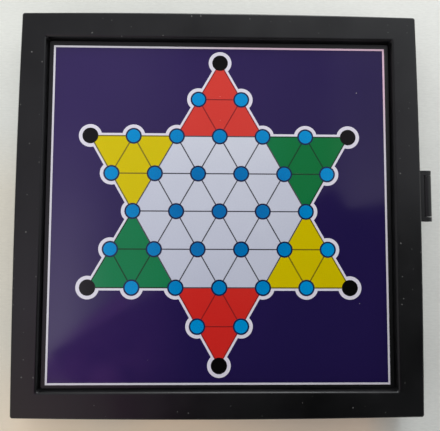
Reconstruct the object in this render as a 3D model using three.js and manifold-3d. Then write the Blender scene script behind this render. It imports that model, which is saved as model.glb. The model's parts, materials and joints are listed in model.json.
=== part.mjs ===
// A travel chinese checkers board: a square latched plastic case whose lid carries the printed
// board, with the magnetic men stored in bays underneath.
// Millimetres, +Z up. +X runs towards the latch, +Y towards the back, and the origin is the
// centre of the flat underside.
import * as THREE from 'three';
import { mergeVertices } from 'three/addons/utils/BufferGeometryUtils.js';
import Module from 'manifold-3d';

const wasm = await Module();
wasm.setup();

// ---- driving dimensions -------------------------------------------------------------------

// Case
const caseSide = 160;
const sideCrown = 0.75;       // how far each side bows out at its middle
const cornerRadius = 1;
const innerCornerRadius = 0.8;
const baseHeight = 12;        // from the underside up to the parting line
const lidHeight = 9;          // from the parting line up to the border's top
const wall = 2.4;
const baseFloor = 2;
const lidEdgeRound = 0.8;     // outer edge of the lid's top
const baseEdgeRound = 1.5;    // outer edge of the base's underside
const partingBevel = 0.35;

// Lid
const frameWidth = 10.3;      // raised border, from the side of the case to the board
const frameTop = 2;           // thickness of the border's top
const openingRound = 1;       // edge of the border over the board
const openingDraft = 0.35;    // how far the opening's walls lean in towards the board
const recessDepth = 2.6;      // from the border's top down to the print
const recessWall = 1.8;
const lidFloor = 1.6;
const ribThickness = 1.2;
const ribsPerSide = 5;

// Board
const sheetThickness = 0.3;
const steelThickness = 0.5;

// Locating rim that stands up from the base inside the lid
const rimThickness = 1;
const rimRise = 1.6;
const rimRoot = 2;            // height over which the rim joins the base's wall

// Lid hinge
const hingeSpread = 46;       // from the middle of the case to the middle of each hinge
const hingeReach = 1.3;       // from the side of the case out to the pin's axis
const knuckleRadius = 2;
const hingePinRadius = 0.75;
const baseKnuckleLength = 5;
const lidKnuckleLength = 11;
const gussetLength = 6;

// Latch
const latchOffset = 6.8;      // from the middle of the case towards the back
const latchLength = 20.8;     // over the ears
const earThickness = 1.8;
const latchKnuckle = 2;       // radius of the ears, and of the barrel that turns between them
const earDrop = 3.4;          // from the top of the lid down to the top of the ears
const latchReach = 4.5;       // from the side of the case out to the latch pin's axis
const ledgeGap = 0.35;        // from the ledge between the ears to the latch's barrel
const ledgeOverhang = 0.35;   // how far the ledge reaches over the barrel
const ledgeThickness = 1.6;
const latchPinRadius = 0.7;
const latchPlate = 1.6;       // thickness of the plate that hangs from the barrel's outer side
const catchHeight = 6.4;      // underside of the catch
const catchThickness = 2.4;
const catchReach = 2.4;
const hookThickness = 1.6;
const hookStandOff = 1;       // from the side of the case out to the hook's tip
const nibHeight = 0.35;
const nibWidth = 0.55;
const latchFoot = 2.4;        // height of the latch's lower end
const lipReach = 2.8;         // how far the thumb lip stands out of the plate
const lipThickness = 1.5;

// Bays
const bayCount = 3;
const dividerThickness = 1.2;
const dividerDrop = 0.45;     // from the foot of the rim down to the top of a divider
const guideReach = 2;
const guideThickness = 1.2;

// Men
const menPerColour = 6;
const menAcross = 2;
const manPitch = 16;
const manRadius = 5.5;
const manHeight = 7.6;
const footHeight = 1.9;
const waistRadius = 2.7;
const headRadius = 3.4;
const magnetRadius = 3;
const magnetThickness = 1.6;

// Clearances
const clearance = 0.3;        // between pieces that lie against each other
const runningGap = 0.4;       // round the knuckles and between them
const overcut = 1;            // how far a cut runs past the surface it opens

// Facets
const roundSteps = 4;         // in a quarter turn of an edge or corner
const bowSteps = 10;          // along a bowed side
const barSides = 20;
const manSides = 18;

// ---- sizes that follow from them ----------------------------------------------------------

const caseHeight = baseHeight + lidHeight;
const boardOpening = caseSide - 2 * frameWidth;
const printTop = caseHeight - recessDepth;
const steelTop = printTop - sheetThickness;
const lidFloorTop = steelTop - steelThickness;
const lidUnderside = lidFloorTop - lidFloor;
const lidFoot = baseHeight + clearance / 2;
const baseTop = baseHeight - clearance / 2;
const innerSide = caseSide - 2 * wall;
const rimFoot = baseTop - rimRoot;
const dividerTop = rimFoot - dividerDrop;
const bayWidth = innerSide / bayCount;

const hingeX = -sideAt(hingeSpread) - hingeReach;
const hingeBore = hingePinRadius + clearance;
const latchWall = sideAt(latchOffset);
const latchX = latchWall + latchReach;
const latchZ = caseHeight - earDrop - latchKnuckle;
const latchBore = latchPinRadius + clearance;
const latchInside = latchLength - 2 * earThickness;

// ---- outlines and solids ------------------------------------------------------------------

const colours = {
  casePlastic: { color: 0x232325, roughness: 0.5, metalness: 0 },
  printedSheet: { color: 0x1c1036, roughness: 0.12, metalness: 0 },
  sheetSteel: { color: 0x9a9da1, roughness: 0.35, metalness: 1 },
  steelPin: { color: 0xb4b6b8, roughness: 0.25, metalness: 1 },
  magnet: { color: 0x3a3a3c, roughness: 0.45, metalness: 1 },
  divider: { color: 0x2a2a2c, roughness: 0.55, metalness: 0 },
  red: { color: 0xc4232a, roughness: 0.3, metalness: 0 },
  yellow: { color: 0xd9c100, roughness: 0.3, metalness: 0 },
  green: { color: 0x0a7438, roughness: 0.3, metalness: 0 },
};

// Distance from the middle of the case to the surface of a side, at a place along that side.
function sideAt(along) {
  const straight = caseSide / 2 - cornerRadius;
  return caseSide / 2 + sideCrown * (1 - (along / straight) ** 2);
}

// A square with rounded corners and bowed sides, anticlockwise.
function squareOutline(side, crown, radius) {
  const sideSteps = crown > 0 ? bowSteps : 1;
  const straight = side / 2 - radius;
  const middle = new THREE.Vector2(0, 0);
  const points = [];
  for (let quarter = 0; quarter < 4; quarter += 1) {
    const turn = quarter * Math.PI / 2;
    for (let step = 0; step < sideSteps; step += 1) {
      const along = straight * (2 * step / sideSteps - 1);
      const bow = crown * (1 - (along / straight) ** 2);
      points.push(new THREE.Vector2(side / 2 + bow, along).rotateAround(middle, turn));
    }
    for (let step = 0; step < roundSteps; step += 1) {
      const angle = step / roundSteps * Math.PI / 2;
      const corner = new THREE.Vector2(radius * Math.cos(angle), radius * Math.sin(angle));
      points.push(corner.addScalar(straight).rotateAround(middle, turn));
    }
  }
  return points;
}

// The case's outline, drawn in from its outer surface by an inset.
function caseOutline(inset) {
  const radius = Math.max(cornerRadius - inset, innerCornerRadius);
  return squareOutline(caseSide - 2 * inset, sideCrown, radius);
}

// A closed solid skinned over outlines of equal point counts, from the lowest to the highest.
function loft(sections) {
  const count = sections[0].outline.length;
  const positions = [];
  for (const section of sections) {
    for (const point of section.outline) positions.push(point.x, point.y, section.z);
  }
  const index = [];
  for (let level = 0; level < sections.length - 1; level += 1) {
    for (let i = 0; i < count; i += 1) {
      const a = level * count + i;
      const b = level * count + (i + 1) % count;
      index.push(a, b, b + count, a, b + count, a + count);
    }
  }
  const last = (sections.length - 1) * count;
  for (const [a, b, c] of THREE.ShapeUtils.triangulateShape(sections[0].outline, [])) {
    index.push(c, b, a);
  }
  for (const [a, b, c] of THREE.ShapeUtils.triangulateShape(sections.at(-1).outline, [])) {
    index.push(last + a, last + b, last + c);
  }
  const geometry = new THREE.BufferGeometry();
  geometry.setAttribute('position', new THREE.Float32BufferAttribute(positions, 3));
  geometry.setIndex(index);
  return solid(geometry);
}

// A manifold solid from a closed three.js geometry.
function solid(geometry) {
  geometry.deleteAttribute('normal');
  geometry.deleteAttribute('uv');
  const merged = mergeVertices(geometry, 1e-4);
  const vertProperties = new Float32Array(merged.attributes.position.array);
  const triVerts = new Uint32Array(merged.index.array);
  return new wasm.Manifold(new wasm.Mesh({ numProp: 3, vertProperties, triVerts }));
}

function geometryOf(manifold) {
  const mesh = manifold.getMesh();
  const geometry = new THREE.BufferGeometry();
  geometry.setAttribute('position', new THREE.BufferAttribute(mesh.vertProperties, 3));
  geometry.setIndex(new THREE.BufferAttribute(mesh.triVerts, 1));
  geometry.computeVertexNormals();
  return geometry;
}

// The case's outline drawn in by an inset and raised straight up.
function caseBlock(inset, bottom, top) {
  const outline = caseOutline(inset);
  return loft([{ outline, z: bottom }, { outline, z: top }]);
}

// A square block with straight sides, centred on the case.
function squareBlock(side, bottom, top) {
  const outline = squareOutline(side, 0, innerCornerRadius);
  return loft([{ outline, z: bottom }, { outline, z: top }]);
}

function box(low, high) {
  const geometry = new THREE.BoxGeometry(high.x - low.x, high.y - low.y, high.z - low.z);
  const middle = new THREE.Vector3().addVectors(low, high).multiplyScalar(0.5);
  geometry.translate(middle.x, middle.y, middle.z);
  return solid(geometry);
}

// A shape drawn in the XZ plane, extruded along Y from front to back.
function crossSection(shape, front, back) {
  const depth = back - front;
  const geometry = new THREE.ExtrudeGeometry(shape, { depth, bevelEnabled: false, curveSegments: 10 });
  geometry.rotateX(Math.PI / 2);
  geometry.translate(0, back, 0);
  return solid(geometry);
}

// A round bar along Y.
function bar(radius, x, z, front, back) {
  const geometry = new THREE.CylinderGeometry(radius, radius, back - front, barSides);
  geometry.translate(x, (front + back) / 2, z);
  return solid(geometry);
}

// Where a line from a point touches a circle: side is 1 for the anticlockwise touch, else -1.
function touchPoint(from, centre, radius, side) {
  const offset = new THREE.Vector2().subVectors(from, centre);
  const angle = offset.angle() + side * Math.acos(radius / offset.length());
  return new THREE.Vector2(Math.cos(angle), Math.sin(angle)).multiplyScalar(radius).add(centre);
}

function named(name, manifold, look) {
  const mesh = new THREE.Mesh(geometryOf(manifold), new THREE.MeshStandardMaterial(look));
  mesh.name = name;
  return mesh;
}

// Insets and heights of a rounded outer edge, from the side surface round to the flat.
function roundedEdge(radius, flatHeight, direction) {
  const levels = [];
  for (let step = 0; step <= roundSteps; step += 1) {
    const angle = step / roundSteps * Math.PI / 2;
    const inset = radius * (1 - Math.cos(angle));
    const z = flatHeight - direction * radius * (1 - Math.sin(angle));
    levels.push({ outline: caseOutline(inset), z });
  }
  return levels;
}

// ---- hinge --------------------------------------------------------------------------------

// Front and back ends of one hinge's knuckles: the lid's in the middle, the base's at its ends.
function knuckleSpans(hingeY) {
  const half = lidKnuckleLength / 2;
  const outer = half + runningGap + baseKnuckleLength;
  return {
    lid: [{ front: hingeY - half, back: hingeY + half }],
    base: [
      { front: hingeY - outer, back: hingeY - half - runningGap },
      { front: hingeY + half + runningGap, back: hingeY + outer },
    ],
  };
}

const hinges = [-hingeSpread, hingeSpread].map(knuckleSpans);

// A knuckle with the gusset that carries it: up is 1 on the lid and -1 on the base.
function knuckle(span, up) {
  const axis = new THREE.Vector2(hingeX, baseHeight);
  const wallX = hingeX + hingeReach;
  const insideWall = wallX + wall / 2;
  const root = new THREE.Vector2(wallX, baseHeight + up * gussetLength);
  const touch = touchPoint(root, axis, knuckleRadius, up);
  const gusset = new THREE.Shape([
    new THREE.Vector2(insideWall, root.y),
    root,
    touch,
    axis,
    new THREE.Vector2(insideWall, baseHeight + up * clearance / 2),
  ]);
  return crossSection(gusset, span.front, span.back)
    .add(bar(knuckleRadius, hingeX, baseHeight, span.front, span.back));
}

// Adds a shell's own knuckles, clears the other shell's and bores the pin's hole.
function withHinges(shell, own, other, up) {
  let result = shell;
  for (const hinge of hinges) {
    for (const span of hinge[other]) {
      const front = span.front - runningGap;
      const back = span.back + runningGap;
      result = result.subtract(bar(knuckleRadius + runningGap, hingeX, baseHeight, front, back));
    }
    for (const span of hinge[own]) {
      const hole = bar(hingeBore, hingeX, baseHeight, span.front - overcut, span.back + overcut);
      result = result.add(knuckle(span, up)).subtract(hole);
    }
  }
  return result;
}

function hingePin(hinge) {
  const [first, second] = hinge.base;
  return bar(hingePinRadius, hingeX, baseHeight, first.front + clearance, second.back - clearance);
}

// ---- base ---------------------------------------------------------------------------------

// Upright ribs on the front and back walls that hold the ends of a divider.
function dividerGuides(x) {
  const wallFace = sideAt(x) - wall;
  const offset = dividerThickness / 2 + clearance;
  const guides = [];
  for (const end of [-1, 1]) {
    for (const flank of [-1, 1]) {
      const ys = [end * (wallFace + wall / 2), end * (wallFace - guideReach)];
      const xs = [x + flank * offset, x + flank * (offset + guideThickness)];
      const low = new THREE.Vector3(Math.min(...xs), Math.min(...ys), baseFloor / 2);
      const high = new THREE.Vector3(Math.max(...xs), Math.max(...ys), dividerTop);
      guides.push(box(low, high));
    }
  }
  return guides;
}

// Positions of the dividers between the bays.
function dividerPlaces() {
  const places = [];
  for (let i = 1; i < bayCount; i += 1) places.push(bayWidth * (i - bayCount / 2));
  return places;
}

// The rim that locates the lid: it stands clear inside the lid's wall and roots in the base's.
function locatingRim() {
  const outer = wall + clearance;
  const inner = outer + rimThickness;
  const top = baseHeight + rimRise;
  const root = caseBlock(wall / 2, rimFoot, baseTop);
  const upright = caseBlock(outer, rimFoot, top);
  return root.add(upright).subtract(caseBlock(inner, rimFoot - overcut, top + overcut));
}

// The catch that the latch hooks under, with a fine ridge that keeps the hook's nib in.
function latchCatch() {
  const outer = latchWall + catchReach;
  const inside = latchWall - wall / 2;
  const top = catchHeight + catchThickness;
  const shape = new THREE.Shape();
  shape.moveTo(inside, catchHeight);
  shape.lineTo(outer - nibWidth, catchHeight);
  shape.lineTo(outer - nibWidth, catchHeight - nibHeight);
  shape.lineTo(outer, catchHeight - nibHeight);
  shape.lineTo(outer, catchHeight + catchThickness / 3);
  shape.lineTo(latchWall, top);
  shape.lineTo(inside, top);
  const half = latchInside / 2 - clearance;
  return crossSection(shape, latchOffset - half, latchOffset + half);
}

function baseShell() {
  const underside = roundedEdge(baseEdgeRound, 0, -1).reverse();
  const sides = [
    { outline: caseOutline(0), z: baseTop - partingBevel },
    { outline: caseOutline(partingBevel), z: baseTop },
  ];
  let shell = loft([...underside, ...sides]);
  shell = shell.subtract(caseBlock(wall, baseFloor, baseTop + overcut));
  shell = shell.add(locatingRim());
  for (const x of dividerPlaces()) {
    for (const guide of dividerGuides(x)) shell = shell.add(guide);
  }
  shell = shell.add(latchCatch());
  return withHinges(shell, 'base', 'lid', -1);
}

function divider(x) {
  const reach = sideAt(x) - wall - clearance;
  const low = new THREE.Vector3(x - dividerThickness / 2, -reach, baseFloor + clearance);
  const high = new THREE.Vector3(x + dividerThickness / 2, reach, dividerTop);
  return box(low, high);
}

// ---- lid ----------------------------------------------------------------------------------

// The opening over the board: straight sides that lean in, under a rounded edge.
function boardRecess() {
  const sections = [{ outline: squareOutline(boardOpening, 0, innerCornerRadius), z: lidFloorTop }];
  const bottom = boardOpening + 2 * openingDraft;
  for (let step = 0; step <= roundSteps; step += 1) {
    const angle = step / roundSteps * Math.PI / 2;
    const side = bottom + 2 * openingRound * (1 - Math.cos(angle));
    const z = caseHeight - openingRound * (1 - Math.sin(angle));
    sections.push({ outline: squareOutline(side, 0, innerCornerRadius), z });
  }
  const { outline } = sections.at(-1);
  sections.push({ outline, z: caseHeight + overcut });
  return loft(sections);
}

// Stiffening ribs across the hollow under the raised border.
function borderRibs() {
  const outer = caseSide / 2 - wall / 2;
  const inner = boardOpening / 2 + recessWall / 2;
  const pitch = boardOpening / (ribsPerSide + 1);
  const ribs = [];
  for (let i = 1; i <= ribsPerSide; i += 1) {
    const along = pitch * i - boardOpening / 2;
    for (const side of [-1, 1]) {
      const across = [side * inner, side * outer].sort((a, b) => a - b);
      const edges = [along - ribThickness / 2, along + ribThickness / 2];
      ribs.push(box(
        new THREE.Vector3(across[0], edges[0], lidUnderside),
        new THREE.Vector3(across[1], edges[1], caseHeight - frameTop / 2),
      ));
      ribs.push(box(
        new THREE.Vector3(edges[0], across[0], lidUnderside),
        new THREE.Vector3(edges[1], across[1], caseHeight - frameTop / 2),
      ));
    }
  }
  return ribs;
}

// One of the two ears that hold the latch's pin, drawn in the XZ plane.
function earShape() {
  const insideWall = latchWall - wall / 2;
  const root = new THREE.Vector2(latchWall, lidFoot + partingBevel);
  const axis = new THREE.Vector2(latchX, latchZ);
  const touch = touchPoint(root, axis, latchKnuckle, 1);
  const end = touch.sub(axis).angle();
  const shape = new THREE.Shape();
  shape.moveTo(insideWall, root.y);
  shape.lineTo(insideWall, latchZ + latchKnuckle);
  shape.lineTo(latchX, latchZ + latchKnuckle);
  shape.absarc(latchX, latchZ, latchKnuckle, Math.PI / 2, end - 2 * Math.PI, true);
  shape.lineTo(root.x, root.y);
  return shape;
}

function latchMount() {
  const half = latchLength / 2;
  const inner = latchInside / 2;
  const ledgeTop = latchZ + latchKnuckle;
  const frontEar = crossSection(earShape(), latchOffset - half, latchOffset - inner);
  const backEar = crossSection(earShape(), latchOffset + inner, latchOffset + half);
  const ledge = box(
    new THREE.Vector3(latchWall - wall / 2, latchOffset - inner, ledgeTop - ledgeThickness),
    new THREE.Vector3(latchX - latchKnuckle + ledgeOverhang, latchOffset + inner, ledgeTop),
  );
  const hollow = bar(latchKnuckle + ledgeGap, latchX, latchZ, latchOffset - inner, latchOffset + inner);
  const reach = half + overcut;
  const hole = bar(latchBore, latchX, latchZ, latchOffset - reach, latchOffset + reach);
  return frontEar.add(backEar).add(ledge).subtract(hollow).subtract(hole);
}

function lidShell() {
  const skirt = [
    { outline: caseOutline(partingBevel), z: lidFoot },
    { outline: caseOutline(0), z: lidFoot + partingBevel },
  ];
  let shell = loft([...skirt, ...roundedEdge(lidEdgeRound, caseHeight, 1)]);
  shell = shell.subtract(boardRecess());
  const boardWell = squareBlock(boardOpening + 2 * recessWall, lidUnderside, caseHeight);
  const hollow = caseBlock(wall, lidFoot - overcut, caseHeight - frameTop).subtract(boardWell);
  shell = shell.subtract(hollow);
  for (const rib of borderRibs()) shell = shell.add(rib);
  shell = shell.add(latchMount());
  return withHinges(shell, 'lid', 'base', 1);
}

// A flat plate that lies in the lid's recess.
function boardPlate(bottom, top) {
  const outline = squareOutline(boardOpening - 2 * clearance, 0, innerCornerRadius);
  return loft([{ outline, z: bottom }, { outline, z: top }]);
}

// ---- latch --------------------------------------------------------------------------------

// The latch's plate in section, with its hook half way down and its thumb lip at the foot.
function latchShape() {
  const outer = latchX + latchKnuckle;
  const inner = outer - latchPlate;
  const hookTop = catchHeight - clearance - nibHeight;
  const tip = latchWall + hookStandOff;
  const nibTop = catchHeight - clearance;
  const shape = new THREE.Shape();
  shape.moveTo(outer, latchZ);
  shape.lineTo(inner, latchZ);
  shape.lineTo(inner, hookTop);
  shape.lineTo(tip + nibWidth, hookTop);
  shape.lineTo(tip + nibWidth, nibTop);
  shape.lineTo(tip, nibTop);
  shape.lineTo(tip, hookTop - hookThickness / 2);
  shape.lineTo(tip + hookThickness / 2, hookTop - hookThickness);
  shape.lineTo(inner, hookTop - hookThickness);
  shape.lineTo(inner, latchFoot + lipThickness);
  shape.quadraticCurveTo(inner, latchFoot, inner + lipThickness, latchFoot);
  shape.lineTo(outer + lipReach, latchFoot);
  shape.lineTo(outer + lipReach, latchFoot + lipThickness);
  shape.lineTo(outer + lipThickness, latchFoot + lipThickness);
  shape.quadraticCurveTo(outer, latchFoot + lipThickness, outer, latchFoot + 2 * lipThickness);
  return shape;
}

function latchClip() {
  const half = latchInside / 2 - clearance;
  const front = latchOffset - half;
  const back = latchOffset + half;
  return crossSection(latchShape(), front, back)
    .add(bar(latchKnuckle, latchX, latchZ, front, back))
    .subtract(bar(latchBore, latchX, latchZ, front - overcut, back + overcut));
}

function latchPin() {
  const half = latchLength / 2 - clearance;
  return bar(latchPinRadius, latchX, latchZ, latchOffset - half, latchOffset + half);
}

// ---- men ----------------------------------------------------------------------------------

// Half of a man's section, out from the roof of its magnet pocket and back over its head.
function manProfile() {
  const pocketRadius = magnetRadius + clearance;
  const pocketDepth = magnetThickness + clearance;
  const bevel = 0.5;
  const headCentre = manHeight - headRadius;
  const points = [
    new THREE.Vector2(0, pocketDepth),
    new THREE.Vector2(pocketRadius, pocketDepth),
    new THREE.Vector2(pocketRadius, 0),
    new THREE.Vector2(manRadius - bevel, 0),
    new THREE.Vector2(manRadius, bevel),
    new THREE.Vector2(manRadius, footHeight - bevel),
    new THREE.Vector2(manRadius - bevel, footHeight),
  ];
  const neck = -Math.acos(waistRadius / headRadius);
  const headSteps = 5;
  for (let step = 0; step < headSteps; step += 1) {
    const angle = neck + (Math.PI / 2 - neck) * step / headSteps;
    const r = headRadius * Math.cos(angle);
    points.push(new THREE.Vector2(r, headCentre + headRadius * Math.sin(angle)));
  }
  points.push(new THREE.Vector2(0, manHeight));
  return points;
}

function manBody() {
  const geometry = new THREE.LatheGeometry(manProfile(), manSides);
  geometry.rotateX(Math.PI / 2);
  return solid(geometry);
}

function magnetBody() {
  const geometry = new THREE.CylinderGeometry(magnetRadius, magnetRadius, magnetThickness, manSides);
  geometry.rotateX(Math.PI / 2);
  geometry.translate(0, 0, magnetThickness / 2);
  return solid(geometry);
}

// Where one colour's men stand: a block of rows at the front of their bay.
function menPlaces(bay) {
  const middle = bayWidth * (bay - (bayCount - 1) / 2);
  const front = -(innerSide / 2 - guideReach - clearance - manPitch / 2);
  const places = [];
  for (let i = 0; i < menPerColour; i += 1) {
    const column = i % menAcross - (menAcross - 1) / 2;
    const row = Math.floor(i / menAcross);
    const z = baseFloor + clearance;
    places.push(new THREE.Vector3(middle + column * manPitch, front + row * manPitch, z));
  }
  return places;
}

// ---- assembly -----------------------------------------------------------------------------

function baseAssembly() {
  const group = new THREE.Group();
  group.add(named('base_shell', baseShell(), colours.casePlastic));
  const [leftX, rightX] = dividerPlaces();
  group.add(named('divider_left', divider(leftX), colours.divider));
  group.add(named('divider_right', divider(rightX), colours.divider));
  group.add(named('hinge_pin_front', hingePin(hinges[0]), colours.steelPin));
  group.add(named('hinge_pin_back', hingePin(hinges[1]), colours.steelPin));
  return group;
}

function lidAssembly() {
  const group = new THREE.Group();
  group.add(named('lid_shell', lidShell(), colours.casePlastic));
  group.add(named('steel_plate', boardPlate(lidFloorTop, steelTop), colours.sheetSteel));
  group.add(named('printed_board', boardPlate(steelTop, printTop), colours.printedSheet));
  group.add(named('latch_pin', latchPin(), colours.steelPin));
  group.add(named('latch_clip', latchClip(), colours.casePlastic));
  return group;
}

function men() {
  const group = new THREE.Group();
  ['red', 'yellow', 'green'].forEach((colour, bay) => {
    menPlaces(bay).forEach((place, i) => {
      const man = named(`man_${colour}_${i + 1}`, manBody(), colours[colour]);
      const magnet = named(`magnet_${colour}_${i + 1}`, magnetBody(), colours.magnet);
      man.position.copy(place);
      magnet.position.copy(place);
      group.add(man, magnet);
    });
  });
  return group;
}

const board = new THREE.Group();
board.add(baseAssembly(), lidAssembly(), men());

export default board;
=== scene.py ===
import json
from math import atan2, cos, degrees, pi, radians, sin, sqrt

import bmesh
import bpy
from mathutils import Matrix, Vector

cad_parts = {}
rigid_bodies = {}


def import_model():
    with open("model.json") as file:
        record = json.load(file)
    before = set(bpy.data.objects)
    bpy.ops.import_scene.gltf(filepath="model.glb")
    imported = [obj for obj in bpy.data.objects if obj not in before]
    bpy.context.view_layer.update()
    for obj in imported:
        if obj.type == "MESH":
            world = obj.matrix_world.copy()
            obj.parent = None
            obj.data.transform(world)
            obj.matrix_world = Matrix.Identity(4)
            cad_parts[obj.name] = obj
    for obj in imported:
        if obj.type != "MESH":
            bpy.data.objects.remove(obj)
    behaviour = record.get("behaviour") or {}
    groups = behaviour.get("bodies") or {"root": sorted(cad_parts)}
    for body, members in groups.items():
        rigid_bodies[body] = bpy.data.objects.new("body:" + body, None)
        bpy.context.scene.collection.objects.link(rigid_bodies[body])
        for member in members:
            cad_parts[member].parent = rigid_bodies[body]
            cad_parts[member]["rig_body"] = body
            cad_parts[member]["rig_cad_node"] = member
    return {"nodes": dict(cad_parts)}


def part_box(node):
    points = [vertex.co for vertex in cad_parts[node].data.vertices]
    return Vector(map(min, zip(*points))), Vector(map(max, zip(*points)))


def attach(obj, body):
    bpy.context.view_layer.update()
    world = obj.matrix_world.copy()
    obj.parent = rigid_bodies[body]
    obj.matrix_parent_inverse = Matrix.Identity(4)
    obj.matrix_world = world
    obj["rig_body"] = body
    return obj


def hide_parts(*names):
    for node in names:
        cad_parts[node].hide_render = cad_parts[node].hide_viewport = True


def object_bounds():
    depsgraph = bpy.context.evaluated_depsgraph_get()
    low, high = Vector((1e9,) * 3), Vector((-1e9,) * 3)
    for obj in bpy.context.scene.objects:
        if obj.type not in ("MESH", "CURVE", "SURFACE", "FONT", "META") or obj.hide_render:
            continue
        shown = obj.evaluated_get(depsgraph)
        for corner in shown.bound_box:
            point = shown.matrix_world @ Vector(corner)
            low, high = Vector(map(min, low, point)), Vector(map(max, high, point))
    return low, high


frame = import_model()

mm = 0.001
weldGap = 0.0005 * mm   # corners closer than this become one
crossRun = 0.01 * mm    # an edge that runs less than this along a bar lies across it
nodes = frame["nodes"]
cadLow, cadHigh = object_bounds()
print("frame loaded:", len(nodes), "nodes")


# small tools

def clearSelection():
    if bpy.context.mode != "OBJECT":
        bpy.ops.object.mode_set(mode="OBJECT")
    bpy.ops.object.select_all(action="DESELECT")


def choose(*pieces):
    clearSelection()
    for piece in pieces:
        piece.select_set(True)
    bpy.context.view_layer.objects.active = pieces[0]


def openMesh(piece, action="DESELECT"):
    choose(piece)
    bpy.ops.object.mode_set(mode="EDIT")
    bpy.ops.mesh.select_mode(type="FACE")
    bpy.ops.mesh.select_all(action=action)


def closeMesh():
    bpy.ops.object.mode_set(mode="OBJECT")


def pick(piece, kind, wanted):
    # selects the faces or edges that wanted says yes to
    bpy.ops.mesh.select_mode(type=kind)
    bpy.ops.mesh.select_all(action="DESELECT")
    mesh = bmesh.from_edit_mesh(piece.data)
    for element in mesh.faces if kind == "FACE" else mesh.edges:
        element.select_set(bool(wanted(element)))
    bmesh.update_edit_mesh(piece.data)


def runOf(edge, axis):
    return abs(edge.verts[0].co[axis] - edge.verts[1].co[axis])


def softenEdges(piece, wanted, offset, segments):
    openMesh(piece)
    pick(piece, "EDGE", wanted)
    bpy.ops.mesh.bevel(offset=offset, segments=segments)
    closeMesh()


def settle(name):
    piece = bpy.context.object  # what was just added, with its place moved into its mesh
    piece.name = name
    piece.data.name = name
    bpy.ops.object.transform_apply(location=True, rotation=True, scale=True)
    return piece


def copyPiece(piece, name, shift=(0, 0, 0)):
    choose(piece)
    bpy.ops.object.duplicate(linked=False)
    bpy.ops.transform.translate(value=shift)
    return settle(name)


def joinPieces(pieces, name):
    choose(*pieces)
    if len(pieces) > 1:
        bpy.ops.object.join()
    return settle(name)


def useModifier(piece, kind, **settings):
    choose(piece)
    modifier = piece.modifiers.new(kind.title(), kind)
    for setting, value in settings.items():
        setattr(modifier, setting, value)
    bpy.ops.object.modifier_apply(modifier=modifier.name)


def fitPiece(piece, body, material, smoothUnder=35):
    piece.data.materials.clear()
    piece.data.materials.append(material)
    choose(piece)
    bpy.ops.object.shade_smooth_by_angle(angle=radians(smoothUnder))
    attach(piece, body)


def middleOf(low, high):
    return (low + high) / 2


# colours and node tools

def paint(red, green, blue):
    # from screen levels, 0 to 255, to the light that they stand for, by the usual screen curve
    tint = []
    for level in (red, green, blue):
        share = level / 255
        tint.append(share / 12.92 if share <= 0.04045 else ((share + 0.055) / 1.055) ** 2.4)
    return (*tint, 1)


def feed(tree, socket, value):
    # a socket takes another node's output or a plain value
    if isinstance(value, bpy.types.NodeSocket):
        tree.links.new(value, socket)
    else:
        socket.default_value = value


def feedAll(tree, node, inputs):
    # labels are written with _ for a space
    for label, value in inputs.items():
        feed(tree, node.inputs[label.replace("_", " ")], value)
    return node


def addNode(tree, kind, **inputs):
    return feedAll(tree, tree.nodes.new("ShaderNode" + kind), inputs)


def placeGroup(tree, group, **inputs):
    node = tree.nodes.new("ShaderNodeGroup")
    node.node_tree = group
    return feedAll(tree, node, inputs).outputs


def maths(tree, operation, first, second, clamp=False):
    node = tree.nodes.new("ShaderNodeMath")
    node.operation = operation
    node.use_clamp = clamp
    for socket, value in zip(node.inputs, (first, second)):
        feed(tree, socket, value)
    return node.outputs[0]


def vectorMaths(tree, operation, first):
    node = addNode(tree, "VectorMath", Vector=first)
    node.operation = operation
    return node


def blendColours(tree, factor, first, second, mode="MIX"):
    node = tree.nodes.new("ShaderNodeMix")
    node.data_type = "RGBA"
    node.blend_type = mode
    for place, value in ((0, factor), (6, first), (7, second)):  # the sockets that a colour mix uses
        feed(tree, node.inputs[place], value)
    return node.outputs[2]


def between(tree, value, low, high, newLow=0.0, newHigh=1.0):
    # where value lies from low to high, carried over to newLow to newHigh and held at its ends
    node = tree.nodes.new("ShaderNodeMapRange")
    node.clamp = True
    for socket, entry in zip(node.inputs, (value, low, high, newLow, newHigh)):
        feed(tree, socket, entry)
    return node.outputs[0]


def product(tree, first, *others):
    for other in others:
        first = maths(tree, "MULTIPLY", first, other)
    return first


def zone(tree, spot, spans):
    # how far inside all of the spans a place is: each is an axis, where it begins and where it is full
    return product(tree, *(between(tree, spot[axis], *span) for axis, *span in spans))


def noise(tree, place, **inputs):
    return addNode(tree, "TexNoise", Vector=place, **inputs).outputs[0]


def turned(tree, place, turn=(0, 0, 0), stretch=(1, 1, 1)):
    node = addNode(tree, "Mapping", Vector=place)
    node.inputs["Rotation"].default_value = [radians(angle) for angle in turn]
    node.inputs["Scale"].default_value = stretch
    return node.outputs["Vector"]


def newGroup(name, inputs, outputs):
    group = bpy.data.node_groups.new(name, "ShaderNodeTree")
    kinds = {"colour": "NodeSocketColor", "value": "NodeSocketFloat", "vector": "NodeSocketVector"}
    for label, (kind, value) in inputs.items():
        socket = group.interface.new_socket(label, in_out="INPUT", socket_type=kinds[kind])
        if value is not None:
            socket.default_value = value
    for label, kind in outputs.items():
        group.interface.new_socket(label, in_out="OUTPUT", socket_type=kinds[kind])
    start = group.nodes.new("NodeGroupInput")
    end = group.nodes.new("NodeGroupOutput")
    return group, start.outputs, end.inputs


def newMaterial(name, **settings):
    material = bpy.data.materials.new(name)
    material.use_nodes = True
    tree = material.node_tree
    shader = feedAll(tree, tree.nodes["Principled BSDF"], settings)
    place = tree.nodes.new("ShaderNodeTexCoord").outputs["Object"]
    return material, tree, shader, place


def axesOf(tree, place):
    return dict(addNode(tree, "SeparateXYZ", Vector=place).outputs.items())


def addGlow(tree, shader, share, glow):
    tree.links.new(blendColours(tree, share, (0, 0, 0, 1), glow), shader.inputs["Emission Color"])
    shader.inputs["Emission Strength"].default_value = 1.0


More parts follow.
